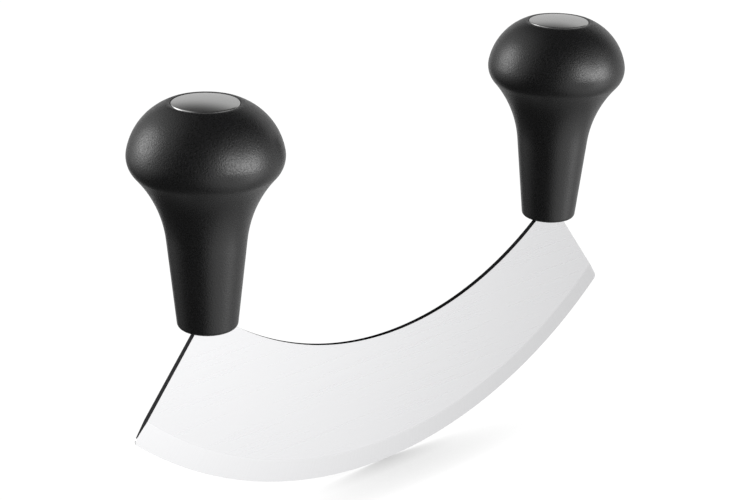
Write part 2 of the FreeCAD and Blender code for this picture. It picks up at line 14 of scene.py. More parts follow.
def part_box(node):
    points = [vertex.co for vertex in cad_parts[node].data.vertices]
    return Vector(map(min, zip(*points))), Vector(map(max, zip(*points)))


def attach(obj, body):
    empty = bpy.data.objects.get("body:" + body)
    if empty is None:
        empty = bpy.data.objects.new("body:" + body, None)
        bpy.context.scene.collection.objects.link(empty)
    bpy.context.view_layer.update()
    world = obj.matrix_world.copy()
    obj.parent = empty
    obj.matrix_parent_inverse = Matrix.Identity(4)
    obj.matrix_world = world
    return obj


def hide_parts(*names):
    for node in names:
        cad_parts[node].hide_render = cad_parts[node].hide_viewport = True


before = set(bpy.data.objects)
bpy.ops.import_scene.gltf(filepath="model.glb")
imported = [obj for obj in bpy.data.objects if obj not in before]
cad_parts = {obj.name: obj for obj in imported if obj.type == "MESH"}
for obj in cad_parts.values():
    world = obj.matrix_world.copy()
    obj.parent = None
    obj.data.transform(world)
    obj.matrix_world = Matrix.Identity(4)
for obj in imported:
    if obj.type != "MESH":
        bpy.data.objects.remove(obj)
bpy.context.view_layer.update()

print("nodes in the frame:", ", ".join(sorted(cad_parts)))

# %% [markdown]
# ## Where things are
# The frame is in metres and a knife is drawn in millimetres, so one small value turns one into the
# other. The handles' places are read from the boxes of the CAD nodes: nothing has to be fitted by eye.

# %% Places taken from the frame
MM = 0.001
SIDES = ("left", "right")


def handle_axis(side):
    """X of the axis that a handle was turned round."""
    low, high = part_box(f"{side}_handle")
    return (low.x + high.x) / 2


foot_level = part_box("left_handle")[0].z
rim_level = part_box("left_handle")[1].z
for side in SIDES:
    print(f"{side} handle stands on x = {handle_axis(side) / MM:.1f} mm")
print(f"feet at {foot_level / MM:.1f} mm, rims at {rim_level / MM:.1f} mm")

# %% [markdown]
# ## The blade
# The real blade is stamped from stainless sheet, and its convex side is ground to a bevel on a wheel.
# It could be drawn as an outline and extruded, but then the bevel has to be fitted along a curve. It is
# easier to start from the whole disc that the cutting edge belongs to: an inset ring marks the bevel,
# thinning the rim grinds it, and a few cuts leave the crescent. An operator works on all that is
# selected, and the loaded nodes still are, so everything is deselected first.

# %% A disc of sheet steel
EDGE_RADIUS = 136 * MM
SHEET = 1.4 * MM
DISC_STEPS = 900


def start_clean():
    if bpy.context.object and bpy.context.object.mode == "EDIT":
        bpy.ops.object.mode_set(mode="OBJECT")
    bpy.ops.object.select_all(action="DESELECT")


def pick(piece):
    start_clean()
    piece.select_set(True)
    bpy.context.view_layer.objects.active = piece


def add_disc(radius, lowest, depth):
    """Disc that stands on its rim in the blade's plane."""
    start_clean()
    bpy.ops.mesh.primitive_cylinder_add(
        vertices=DISC_STEPS, radius=radius, depth=depth,
        location=(0, 0, lowest + radius), rotation=(math.pi / 2, 0, 0),
    )
    bpy.ops.object.transform_apply(location=True, rotation=True, scale=True)
    return bpy.context.object


blade = add_disc(EDGE_RADIUS, 0, SHEET)
blade.name = "crescent_blade"
print(f"disc of {blade.dimensions.x / MM:.1f} x {blade.dimensions.y / MM:.1f} mm")

# %% [markdown]
# The grinding wheel leaves a flat bevel that runs out to a very thin edge. Inset draws the line where
# the bevel starts, and resizing the rim across the sheet thins it.

# %% The ground bevel
EDGE_THICKNESS = 0.12 * MM
BEVEL_WIDTH = 6.5 * MM
# A face of the plate's front or back has at least this much of its normal across the sheet.
SIDE_FACING = 0.9


def is_side(face):
    return abs(face.normal.y) > SIDE_FACING


def select_faces(piece, wanted):
    """In edit mode, selects just the faces that pass the test."""
    bpy.ops.mesh.select_mode(type="FACE")
    bpy.ops.mesh.select_all(action="DESELECT")
    bpy.ops.object.mode_set(mode="OBJECT")
    for face in piece.data.polygons:
        face.select = wanted(face)
    bpy.ops.object.mode_set(mode="EDIT")


def from_edge_centre(point):
    """Distance of a point from the axis of the cutting edge's curve."""
    return math.hypot(point.x, point.z - EDGE_RADIUS)


bpy.ops.object.mode_set(mode="EDIT")
select_faces(blade, is_side)
bpy.ops.mesh.inset(thickness=BEVEL_WIDTH, depth=0)
select_faces(blade, lambda face: not is_side(face))
bpy.ops.transform.resize(value=(1, EDGE_THICKNESS / SHEET, 1), center_override=(0, 0, EDGE_RADIUS))
print(f"rim thinned from {SHEET / MM} to {EDGE_THICKNESS / MM} mm")

# %% [markdown]
# The ends of the blade are straight, from each tip up to the horn under a handle, and the horns are
# level. Bisecting planes take the rest of the disc away and close the cuts behind them. The tips are
# rounded so that they don't prick the hand that wipes the blade. The same cut does it: many planes,
# each touching the small circle that fits between the end and the edge.

# %% Straight ends, level horns and round tips
HALF_LENGTH = 90 * MM
TIP_ROUND = 1.5 * MM
TIP_CUTS = 30
HORN_OUTER = 4 * MM
CUT_PRECISION = 0.0001 * MM

edge_centre = Vector((0, 0, EDGE_RADIUS))
tip = Vector((HALF_LENGTH, 0, EDGE_RADIUS - math.sqrt(EDGE_RADIUS ** 2 - HALF_LENGTH ** 2)))
horn = Vector((handle_axis("right") + HORN_OUTER, 0, foot_level))
along_end = (horn - tip).normalized()
out_of_end = Vector((along_end.z, 0, -along_end.x))


def cut_away(point, normal):
    """Removes what lies beyond a plane, and closes the cut."""
    bpy.ops.mesh.select_all(action="SELECT")
    bpy.ops.mesh.bisect(
        plane_co=point, plane_no=normal, use_fill=True, clear_outer=True, threshold=CUT_PRECISION,
    )


def cut_both_ends(point, normal):
    for sign in (1, -1):
        cut_away((sign * point.x, 0, point.z), (sign * normal.x, 0, normal.z))


cut_both_ends(tip, out_of_end)
cut_away((0, 0, foot_level), (0, 0, 1))

inside_end = tip - out_of_end * TIP_ROUND - edge_centre
back = inside_end.dot(along_end)
step_in = -back - math.sqrt(back ** 2 - inside_end.length_squared + (EDGE_RADIUS - TIP_ROUND) ** 2)
round_centre = edge_centre + inside_end + along_end * step_in
first = math.atan2(out_of_end.z, out_of_end.x)
last = math.atan2(round_centre.z - EDGE_RADIUS, round_centre.x)
for cut in range(TIP_CUTS):
    turn = first + (last - first) * (cut + 0.5) / TIP_CUTS
    outward = Vector((math.cos(turn), 0, math.sin(turn)))
    cut_both_ends(round_centre + outward * TIP_ROUND, outward)
bpy.ops.object.mode_set(mode="OBJECT")
print(f"blade is {blade.dimensions.x / MM:.2f} mm from tip to tip")

# %% [markdown]
# The hollow back is one arc from horn to horn. A second disc, thicker than the sheet, is the punch that
# takes it out. A Boolean modifier is the right tool here, because the cut is curved and a bisecting
# plane is not.

# %% The hollow back
BLADE_DEPTH = 40 * MM
HORN_INNER = 5.5 * MM
PUNCH_DEPTH = 6 * SHEET


def combine(piece, tool, operation):
    """Joins a tool body to the piece or takes it out, and removes the tool."""
    pick(piece)
    modifier = piece.modifiers.new("combine", "BOOLEAN")
    modifier.solver = "EXACT"
    modifier.operation = operation
    modifier.object = tool
    bpy.ops.object.modifier_apply(modifier=modifier.name)
    bpy.data.objects.remove(tool)


reach = handle_axis("right") - HORN_INNER
rise = foot_level - BLADE_DEPTH
spine_radius = (reach ** 2 + rise ** 2) / (2 * rise)
combine(blade, add_disc(spine_radius, BLADE_DEPTH, PUNCH_DEPTH), "DIFFERENCE")
print(f"back hollowed to a radius of {spine_radius / MM:.1f} mm")

# %% [markdown]
# Each horn carries a tab that goes up into the handle, where a rivet holds it to the steel rod. Nobody
# sees it on the finished knife, but a blade that is taken out of the model should have it.

# %% Tabs with their rivet holes
TAB_WIDTH, TAB_THICKNESS, TAB_HEIGHT = 7 * MM, 1.5 * MM, 16 * MM
RIVET_HOLE = 1.55 * MM
HOLE_STEPS = 48
rivet_low, rivet_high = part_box("left_tang_rivet")
rivet_level = (rivet_low.z + rivet_high.z) / 2


def add_block(width, thickness, low, high, x):
    start_clean()
    bpy.ops.mesh.primitive_cube_add(
        size=1, location=(x, 0, (low + high) / 2), scale=(width, thickness, high - low),
    )
    bpy.ops.object.transform_apply(location=True, rotation=True, scale=True)
    return bpy.context.object


for side in SIDES:
    x = handle_axis(side)
    combine(blade, add_block(TAB_WIDTH, TAB_THICKNESS, foot_level, foot_level + TAB_HEIGHT, x), "UNION")
    start_clean()
    bpy.ops.mesh.primitive_cylinder_add(
        vertices=HOLE_STEPS, radius=RIVET_HOLE, depth=PUNCH_DEPTH,
        location=(x, 0, rivet_level), rotation=(math.pi / 2, 0, 0),
    )
    combine(blade, bpy.context.object, "DIFFERENCE")
print(f"tabs rise to {blade.bound_box[1][2] / MM:.1f} mm, holes at {rivet_level / MM:.1f} mm")

# %% [markdown]
# The bevel leans only about six degrees from the flat, and the crease between them has to stay crisp.
# So the smoothing angle lies under that, and above the small steps of the arcs.

# %% Smooth arcs, crisp crease
ARC_SMOOTH = math.radians(4.5)
MERGE_WITHIN = 0.002 * MM


def close_skin():
    """In edit mode, merges points that lie on each other and turns all faces outwards."""
    bpy.ops.mesh.select_all(action="SELECT")
    bpy.ops.mesh.remove_doubles(threshold=MERGE_WITHIN)
    bpy.ops.mesh.normals_make_consistent(inside=False)
    bpy.ops.object.mode_set(mode="OBJECT")


pick(blade)
bpy.ops.object.mode_set(mode="EDIT")
close_skin()
bpy.ops.object.shade_smooth_by_angle(angle=ARC_SMOOTH)
bevel_lean = math.atan2((SHEET - EDGE_THICKNESS) / 2, BEVEL_WIDTH)
print(f"bevel leans {math.degrees(bevel_lean):.1f} degrees, blade has {len(blade.data.polygons)} faces")

# %% [markdown]
# ## The handles
# A real handle is moulded in one piece: a tapered neck, a hollow flare, a round knob and a flat rim
# with a recess. All of it is round, so half of its section is drawn and turned about the axis. The
# section is drawn as with a pencil: one vertex is extruded along each line and spun along each arc, and
# every arc runs smoothly into the next because their centres are worked out from the radii.

# %% Centres of the handle's arcs
FOOT_RADIUS = 7.85 * MM
NECK_TAPER = math.radians(6)
FLARE_RADIUS = 32 * MM
KNOB_RADIUS, KNOB_EDGE = 20 * MM, 7 * MM
DOME_RADIUS, DOME_RISE = 16.5 * MM, 13.6 * MM
RECESS_RADIUS, RIM_LIP = 8.8 * MM, 0.9 * MM

up_neck = Vector((math.sin(NECK_TAPER), 0, math.cos(NECK_TAPER)))
out_of_neck = Vector((math.cos(NECK_TAPER), 0, -math.sin(NECK_TAPER)))
foot = Vector((handle_axis("left") + FOOT_RADIUS, 0, foot_level))
rim = Vector((handle_axis("left") + RECESS_RADIUS + RIM_LIP, 0, rim_level))
knob_centre = Vector((handle_axis("left") + KNOB_RADIUS - KNOB_EDGE, 0, rim_level - DOME_RISE))

beside_neck = foot + out_of_neck * FLARE_RADIUS - knob_centre
along = beside_neck.dot(up_neck)
apart = FLARE_RADIUS + KNOB_EDGE
neck_length = -along - math.sqrt(along ** 2 - beside_neck.length_squared + apart ** 2)
neck_top = foot + up_neck * neck_length
flare_centre = neck_top + out_of_neck * FLARE_RADIUS
flare_end = knob_centre + (flare_centre - knob_centre) * (KNOB_EDGE / apart)

inset_radius = DOME_RADIUS - KNOB_EDGE
span = (rim - knob_centre).length
towards = (rim - knob_centre) / span
ahead = (inset_radius ** 2 - DOME_RADIUS ** 2 + span ** 2) / (2 * span)
sideways = Vector((-towards.z, 0, towards.x)) * math.sqrt(inset_radius ** 2 - ahead ** 2)
dome_centre = knob_centre + towards * ahead + sideways
knob_end = dome_centre + (knob_centre - dome_centre) * (DOME_RADIUS / inset_radius)
print(f"neck {neck_length / MM:.1f} mm long, knob {2 * KNOB_RADIUS / MM:.0f} mm across")

# %% [markdown]
# The pencil is a plane merged into one vertex. It starts at the bore in the foot, goes up the outside
# to the rim, down through the recess of the cap and the pocket of the nut, and back through the bore.

# %% Pencil tools
def start_section(name, point):
    start_clean()
    bpy.ops.mesh.primitive_plane_add(size=MM)
    bpy.context.object.name = name
    bpy.ops.object.mode_set(mode="EDIT")
    bpy.ops.mesh.select_mode(type="VERT")
    bpy.ops.mesh.merge(type="CENTER")
    bpy.ops.transform.translate(value=point)
    return bpy.context.object


def draw_line(start, end):
    bpy.ops.mesh.extrude_vertices_move(TRANSFORM_OT_translate={"value": end - start})
    return end


def draw_arc(start, end, centre, steps):
    """Spins the last vertex round a centre, the short way."""
    first_arm, last_arm = start - centre, end - centre
    turn = math.atan2(first_arm.z * last_arm.x - first_arm.x * last_arm.z, first_arm.dot(last_arm))
    # Spin turns left-handed, so its axis points back.
    bpy.ops.mesh.spin(steps=steps, angle=turn, center=centre, axis=(0, -1, 0))
    return end


def at(radius, level):
    """Point of a half section drawn on the left handle's axis."""
    return Vector((handle_axis("left") + radius, 0, level))


print("pencil starts at the left handle, x =", round(handle_axis("left") / MM, 1), "mm")

# %% [markdown]
# The mould leaves a small round at the foot, so that it doesn't chip, and another at the lip of the
# recess. Both are part of the section, because a bevel afterwards would have to find the right edges
# again.

# %% Half section of a handle
FOOT_ROUND, RIM_ROUND = 1.3 * MM, 0.3 * MM
BORE_RADIUS, POCKET_RADIUS = 3.05 * MM, 7 * MM
FOOT_STEPS, FLARE_STEPS, KNOB_STEPS, DOME_STEPS, LIP_STEPS = 10, 18, 24, 28, 6
ledge_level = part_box("left_cap")[0].z
pocket_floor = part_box("left_washer")[0].z

foot_run = FOOT_ROUND / math.tan((math.pi / 2 + NECK_TAPER) / 2)
sole_end = foot - Vector((foot_run, 0, 0))
foot_centre = sole_end + Vector((0, 0, FOOT_ROUND))
lip_end = at(RECESS_RADIUS + RIM_ROUND, rim_level)
recess_top = at(RECESS_RADIUS, rim_level - RIM_ROUND)
lip_centre = at(RECESS_RADIUS + RIM_ROUND, rim_level - RIM_ROUND)

pen = at(BORE_RADIUS, foot_level)
left_handle = start_section("moulded_handle_left", pen)
pen = draw_line(pen, sole_end)
pen = draw_arc(pen, foot + up_neck * foot_run, foot_centre, FOOT_STEPS)
pen = draw_line(pen, neck_top)
pen = draw_arc(pen, flare_end, flare_centre, FLARE_STEPS)
pen = draw_arc(pen, knob_end, knob_centre, KNOB_STEPS)
pen = draw_arc(pen, rim, dome_centre, DOME_STEPS)
pen = draw_line(pen, lip_end)
pen = draw_arc(pen, recess_top, lip_centre, LIP_STEPS)
for radius, level in (
    (RECESS_RADIUS, ledge_level), (POCKET_RADIUS, ledge_level),
    (POCKET_RADIUS, pocket_floor), (BORE_RADIUS, pocket_floor), (BORE_RADIUS, foot_level),
):
    pen = draw_line(pen, at(radius, level))
print(f"section drawn up to {rim_level / MM:.0f} mm and back into the bore")

# %% [markdown]
# Spin turns the section once round the axis. Its first and last rows lie on each other, so doubles are
# merged, and the normals are recalculated because a spin may leave the skin inside out. A slot for the
# blade's tab is cut up into the foot, and the second handle is a copy with its own mesh.

# %% Turn the handle, cut its slot and copy it
TURN_STEPS = 160
SMOOTH_BELOW = math.radians(30)
FIT = 0.05 * MM


def turn_section():
    """Turns the section that is open in edit mode once round the left handle's axis."""
    bpy.ops.mesh.select_all(action="SELECT")
    bpy.ops.mesh.spin(
        steps=TURN_STEPS, angle=2 * math.pi, center=(handle_axis("left"), 0, 0), axis=(0, 0, 1),
    )
    close_skin()
    bpy.ops.object.shade_smooth_by_angle(angle=SMOOTH_BELOW)


def copy_to_right(piece, name):
    pick(piece)
    bpy.ops.object.duplicate(linked=False)
    bpy.ops.transform.translate(value=(handle_axis("right") - handle_axis("left"), 0, 0))
    bpy.ops.object.transform_apply(location=True, rotation=True, scale=True)
    bpy.context.object.name = name
    return bpy.context.object


turn_section()
slot = add_block(
    TAB_WIDTH + 2 * FIT, TAB_THICKNESS + 2 * FIT,
    foot_level - MM, foot_level + TAB_HEIGHT + FIT, handle_axis("left"),
)
combine(left_handle, slot, "DIFFERENCE")
right_handle = copy_to_right(left_handle, "moulded_handle_right")
print(f"handles of {left_handle.dimensions.x / MM:.1f} x {left_handle.dimensions.z / MM:.1f} mm")

# %% [markdown]
# ## The caps
# A cap is drawn from stainless sheet: a shallow dome, a tight round corner and a straight skirt pressed
# into the knob. It is turned as the handle was. A thin gap stays between cap and rim, and it is what
# draws the dark ring.

# %% Turn a cap and copy it
CAP_WALL, CAP_CORNER = 0.8 * MM, 0.5 * MM
CROWN_STEPS, CORNER_STEPS, INSIDE_STEPS = 20, 10, 12
cap_low, cap_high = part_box("left_cap")
cap_radius = (cap_high.x - cap_low.x) / 2
crown = cap_high.z - rim_level
cap_curve = (cap_radius ** 2 + crown ** 2) / (2 * crown)

middle = at(0, cap_high.z - cap_curve)
corner_reach = cap_radius - CAP_CORNER
corner_centre = at(corner_reach, middle.z + math.sqrt((cap_curve - CAP_CORNER) ** 2 - corner_reach ** 2))
dome_end = middle + (corner_centre - middle).normalized() * cap_curve
inside = cap_radius - CAP_WALL
inside_corner = at(inside, middle.z + math.sqrt((cap_curve - CAP_WALL) ** 2 - inside ** 2))

pen = at(0, cap_high.z)
left_cap = start_section("drawn_cap_left", pen)
pen = draw_arc(pen, dome_end, middle, CROWN_STEPS)
pen = draw_arc(pen, at(cap_radius, corner_centre.z), corner_centre, CORNER_STEPS)
pen = draw_line(pen, at(cap_radius, cap_low.z))
pen = draw_line(pen, at(inside, cap_low.z))
pen = draw_line(pen, inside_corner)
draw_arc(pen, at(0, cap_high.z - CAP_WALL), middle, INSIDE_STEPS)
turn_section()
right_cap = copy_to_right(left_cap, "drawn_cap_right")
print(f"caps {left_cap.dimensions.x / MM:.2f} mm across, crown {crown / MM:.1f} mm")

# %% [markdown]
# ## Hand the pieces over
# Each new piece takes the place of a CAD node and rides on the only body. The rods, rivets, washers and
# nuts are well shaped already and hidden in the handles, so their CAD nodes stay.

# %% Ride and replace
dressed = {
    "blade": (blade, "blade_steel"),
    "left_handle": (left_handle, "handle_plastic"), "right_handle": (right_handle, "handle_plastic"),
    "left_cap": (left_cap, "cap_steel"), "right_cap": (right_cap, "cap_steel"),
}
for node, (piece, slot_name) in dressed.items():
    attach(piece, "root")
    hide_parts(node)
print("pieces modelled again:", len(dressed))

# %% [markdown]
# ## Tools for the finishes
# A colour picked from a screen is an sRGB value, and the shader wants linear light, so one function
# converts it. Another one adds a node: plain values go on its sockets, and sockets of other nodes are
# linked to them.

# %% Colour and node helpers
def linear(hex_colour):
    """The sRGB formula, with full opacity added."""
    channels = [int(hex_colour[start:start + 2], 16) / 255 for start in (1, 3, 5)]
    light = [c / 12.92 if c <= 0.04045 else ((c + 0.055) / 1.055) ** 2.4 for c in channels]
    return (*light, 1.0)


def add_node(tree, kind, inputs=None, **settings):
    node = tree.nodes.new(kind)
    for name, setting in settings.items():
        setattr(node, name, setting)
    for socket, given in (inputs or {}).items():
        if isinstance(given, bpy.types.NodeSocket):
            tree.links.new(given, node.inputs[socket])
        else:
            node.inputs[socket].default_value = given
    return node


def new_material(name):
    """A material that keeps only its output, and that output's node."""
    material = bpy.data.materials.new(name)
    material.use_nodes = True
    tree = material.node_tree
    tree.nodes.clear()
    return material, tree, tree.nodes.new("ShaderNodeOutputMaterial")


print("mid grey #808080 is", [round(c, 4) for c in linear("#808080")[:3]], "in linear light")

# %% [markdown]
# ## Black handle plastic
# Such handles are moulded in black acetal or a like plastic, and the mould is spark-eroded, which
# leaves a fine even grain. The grain could be modelled, but at a few tenths of a millimetre a bump from
# noise does the same for far less. It breaks up the highlights into tiny specks, and a slow change of
# roughness keeps the broad sheen from looking painted.

# %% Spark-eroded black acetal
# A real grain of this kind is some hundredths of a millimetre deep.
GRAIN, GRAIN_DEPTH = 0.42 * MM, 0.06 * MM
GRAIN_ROUGHNESS = 0.5
HANDLING = 9 * MM

acetal, tree, output = new_material("spark_eroded_black_acetal")
place = add_node(tree, "ShaderNodeTexCoord")
grain = add_node(
    tree, "ShaderNodeTexNoise",
    {"Vector": place.outputs["Object"], "Scale": 1 / GRAIN, "Detail": 1.0},
)
wear = add_node(
    tree, "ShaderNodeTexNoise",
    {"Vector": place.outputs["Object"], "Scale": 1 / HANDLING, "Detail": 2.0},
)
tone = add_node(
    tree, "ShaderNodeMix",
    {"Factor": grain.outputs["Fac"], "A": linear("#121212"), "B": linear("#1a1a1b")}, data_type="RGBA",
)
handled = add_node(
    tree, "ShaderNodeMapRange",
    {"Value": wear.outputs["Fac"], "From Min": 0.3, "From Max": 0.7, "To Min": 0.05, "To Max": 0.09},
)
sheen = add_node(
    tree, "ShaderNodeMath",
    {0: grain.outputs["Fac"], 1: GRAIN_ROUGHNESS, 2: handled.outputs["Result"]}, operation="MULTIPLY_ADD",
)
bump = add_node(
    tree, "ShaderNodeBump",
    {"Strength": 0.8, "Distance": GRAIN_DEPTH, "Height": grain.outputs["Fac"]},
)
skin = add_node(
    tree, "ShaderNodeBsdfPrincipled",
    {
        "Base Color": tone.outputs["Result"], "Roughness": sheen.outputs["Value"],
        "Normal": bump.outputs["Normal"], "IOR": 1.48,
    },
)
tree.links.new(skin.outputs["BSDF"], output.inputs["Surface"])
for piece in (left_handle, right_handle):
    piece.data.materials.clear()
    piece.data.materials.append(acetal)
print(acetal.name, "on both handles")

# %% [markdown]
# ## Blade steel
# The sheet is a chromium stainless steel. Its flats are polished on belts to a satin that runs along
# the blade, the bevel is ground across it on a wheel, and the punched edges stay rough and dark. One
# material would make them all alike, so the blade gets three, and its faces choose by the way they
# face. The satin of the flats comes first. To the eye it is an even, milky mirror: it takes the
# brightness of what is in front of it, but no outlines.

# %% Satin stainless of the flats
SATIN_LINE, SATIN_LENGTH = 0.5 * MM, 45 * MM

satin, tree, output = new_material("satin_stainless_steel")
place = add_node(tree, "ShaderNodeTexCoord")
# Belt lines are really under a tenth of a millimetre wide, and are drawn coarser here so that they show.
stretch = add_node(
    tree, "ShaderNodeMapping",
    {"Vector": place.outputs["Object"], "Scale": (1 / SATIN_LENGTH, 1 / SATIN_LENGTH, 1 / SATIN_LINE)},
)
lines = add_node(
    tree, "ShaderNodeTexNoise",
    {"Vector": stretch.outputs["Vector"], "Scale": 1.0, "Detail": 3.0},
)
tone = add_node(
    tree, "ShaderNodeMix",
    {"Factor": lines.outputs["Fac"], "A": linear("#b4b4b5"), "B": linear("#b6b6b7")}, data_type="RGBA",
)
rough = add_node(
    tree, "ShaderNodeMapRange", {"Value": lines.outputs["Fac"], "To Min": 0.27, "To Max": 0.28},
)
steel = add_node(
    tree, "ShaderNodeBsdfPrincipled",
    {"Base Color": tone.outputs["Result"], "Metallic": 1.0, "Roughness": rough.outputs["Result"]},
)
tree.links.new(steel.outputs["BSDF"], output.inputs["Surface"])
print(satin.name, f"with lines every {SATIN_LINE / MM} mm")

# %% [markdown]
# The bevel is ground on a wheel that turns across the edge, so its scratches point from the edge to the
# back. They are too fine to model. A radial gradient counts them round the curve of the edge, and noise
# makes each one different. To the eye the bevel is a second plane with a brightness of its own, and the
# line between the two stays clear.

# %% Ground stainless of the bevel
GRIND_LINE, GRIND_DEPTH = 0.4 * MM, 0.01 * MM

ground, tree, output = new_material("ground_stainless_steel")
place = add_node(tree, "ShaderNodeTexCoord")
# Turned and centred so that the scratches point at the axis of the edge's curve.
centred = add_node(
    tree, "ShaderNodeMapping",
    {
        "Vector": place.outputs["Object"], "Location": (0, -EDGE_RADIUS, 0),
        "Rotation": (-math.pi / 2, 0, 0),
    },
)
sweep = add_node(
    tree, "ShaderNodeTexGradient", {"Vector": centred.outputs["Vector"]}, gradient_type="RADIAL",
)
round_edge = add_node(
    tree, "ShaderNodeMath",
    {0: sweep.outputs["Fac"], 1: 2 * math.pi * EDGE_RADIUS / GRIND_LINE}, operation="MULTIPLY",
)
scratches = add_node(
    tree, "ShaderNodeTexNoise",
    {"W": round_edge.outputs["Value"], "Scale": 1.0, "Detail": 2.0}, noise_dimensions="1D",
)
tone = add_node(
    tree, "ShaderNodeMix",
    {"Factor": scratches.outputs["Fac"], "A": linear("#c8c8c9"), "B": linear("#cfcfd0")}, data_type="RGBA",
)
rough = add_node(
    tree, "ShaderNodeMapRange", {"Value": scratches.outputs["Fac"], "To Min": 0.26, "To Max": 0.36},
)
bump = add_node(
    tree, "ShaderNodeBump",
    {"Strength": 0.05, "Distance": GRIND_DEPTH, "Height": scratches.outputs["Fac"]},
)
steel = add_node(
    tree, "ShaderNodeBsdfPrincipled",
    {
        "Base Color": tone.outputs["Result"], "Metallic": 1.0, "Roughness": rough.outputs["Result"],
        "Normal": bump.outputs["Normal"],
    },
)
tree.links.new(steel.outputs["BSDF"], output.inputs["Surface"])
print(ground.name, f"with scratches every {GRIND_LINE / MM} mm")

# %% [markdown]
# The back and the ends are left as the punch made them: sheared, and given a near-black colour. It
# could be the same steel with more roughness, but it would still shine at a slant. A near-black metal
# with fine tears does not, and draws the thin black outline that the sheet shows from the side.

# %% Punched steel of the cut edges
TEAR, TEAR_DEPTH = 0.35 * MM, 0.03 * MM

punched, tree, output = new_material("punched_stainless_steel")
place = add_node(tree, "ShaderNodeTexCoord")
# The tears run across the sheet. The near-black colour keeps the edge dark, also at a slant.
across = add_node(
    tree, "ShaderNodeMapping",
    {"Vector": place.outputs["Object"], "Scale": (1 / TEAR, 1 / SHEET, 1 / TEAR)},
)
tears = add_node(
    tree, "ShaderNodeTexNoise",
    {"Vector": across.outputs["Vector"], "Scale": 1.0, "Detail": 2.0},
)
tone = add_node(
    tree, "ShaderNodeMix",
    {"Factor": tears.outputs["Fac"], "A": linear("#262627"), "B": linear("#363637")}, data_type="RGBA",
)
bump = add_node(
    tree, "ShaderNodeBump",
    {"Strength": 0.3, "Distance": TEAR_DEPTH, "Height": tears.outputs["Fac"]},
)
steel = add_node(
    tree, "ShaderNodeBsdfPrincipled",
    {
        "Base Color": tone.outputs["Result"], "Metallic": 1.0, "Roughness": 0.6,
        "Normal": bump.outputs["Normal"], "Specular Tint": linear("#808080"),
    },
)
tree.links.new(steel.outputs["BSDF"], output.inputs["Surface"])
print(punched.name, f"torn every {TEAR / MM} mm")

# %% [markdown]
# The flats look straight to the front or the back, the bevels lean a little from that, and the rest is
# cut edge. The thin cutting edge lies out at the radius of the disc, with the rounded tips, and these
# are ground bright too.

# %% Faces choose their steel
def assign(piece, index, wanted):
    pick(piece)
    bpy.ops.object.mode_set(mode="EDIT")
    select_faces(piece, wanted)
    piece.active_material_index = index
    bpy.ops.object.material_slot_assign()
    bpy.ops.object.mode_set(mode="OBJECT")


def is_bevel(face):
    leans = is_side(face) and abs(face.normal.y) < math.cos(bevel_lean / 2)
    return leans or from_edge_centre(face.center) > EDGE_RADIUS - TIP_ROUND


finishes = (satin, ground, punched)
blade.data.materials.clear()
for finish in finishes:
    blade.data.materials.append(finish)
assign(blade, finishes.index(ground), is_bevel)
assign(blade, finishes.index(punched), lambda face: not is_side(face) and not is_bevel(face))
for index, finish in enumerate(finishes):
    print(finish.name, "on", sum(face.material_index == index for face in blade.data.polygons), "faces")

# %% [markdown]
# ## Cap steel
# The caps are drawn from thin stainless and turned against a polishing wheel, which leaves faint rings
# round the middle. Rings could be a texture drawn on the cap, but the distance from its axis gives them
# straight away. Each cap has its own axis, so each gets its own material, made by the same steps. To
# the eye a cap is a blurred mirror, dark where it looks up and bright where it looks at the backdrop.

# %% Ring-polished stainless of the caps
RING, RING_DEPTH = 0.3 * MM, 0.01 * MM

for side, piece in zip(SIDES, (left_cap, right_cap)):
    polished, tree, output = new_material(f"ring_polished_stainless_steel_{side}")
    place = add_node(tree, "ShaderNodeTexCoord")
    centred = add_node(
        tree, "ShaderNodeMapping",
        {"Vector": place.outputs["Object"], "Location": (-handle_axis(side), 0, 0), "Scale": (1, 1, 0)},
    )
    reach_out = add_node(tree, "ShaderNodeVectorMath", {0: centred.outputs["Vector"]}, operation="LENGTH")
    counted = add_node(
        tree, "ShaderNodeMath", {0: reach_out.outputs["Value"], 1: 1 / RING}, operation="MULTIPLY",
    )
    rings = add_node(
        tree, "ShaderNodeTexNoise",
        {"W": counted.outputs["Value"], "Scale": 1.0, "Detail": 2.0}, noise_dimensions="1D",
    )
    tone = add_node(
        tree, "ShaderNodeMix",
        {"Factor": rings.outputs["Fac"], "A": linear("#c4c4c3"), "B": linear("#cccccb")}, data_type="RGBA",
    )
    rough = add_node(
        tree, "ShaderNodeMapRange", {"Value": rings.outputs["Fac"], "To Min": 0.14, "To Max": 0.22},
    )
    bump = add_node(
        tree, "ShaderNodeBump",
        {"Strength": 0.04, "Distance": RING_DEPTH, "Height": rings.outputs["Fac"]},
    )
    steel = add_node(
        tree, "ShaderNodeBsdfPrincipled",
        {
            "Base Color": tone.outputs["Result"], "Metallic": 1.0, "Roughness": rough.outputs["Result"],
            "Normal": bump.outputs["Normal"],
        },
    )
    tree.links.new(steel.outputs["BSDF"], output.inputs["Surface"])
    piece.data.materials.clear()
    piece.data.materials.append(polished)
    print(polished.name, f"with rings every {RING / MM} mm")

# %% [markdown]
# ## Plated hardware
# The rod, rivet, washer and nut inside each handle are bought parts of mild steel with a bright zinc
# plating. Zinc is a little bluer than stainless, and its crystals make it cloudy. The CAD nodes keep
# their shape and get it as they are.

# %% Zinc-plated steel
CLOUD = 1.2 * MM

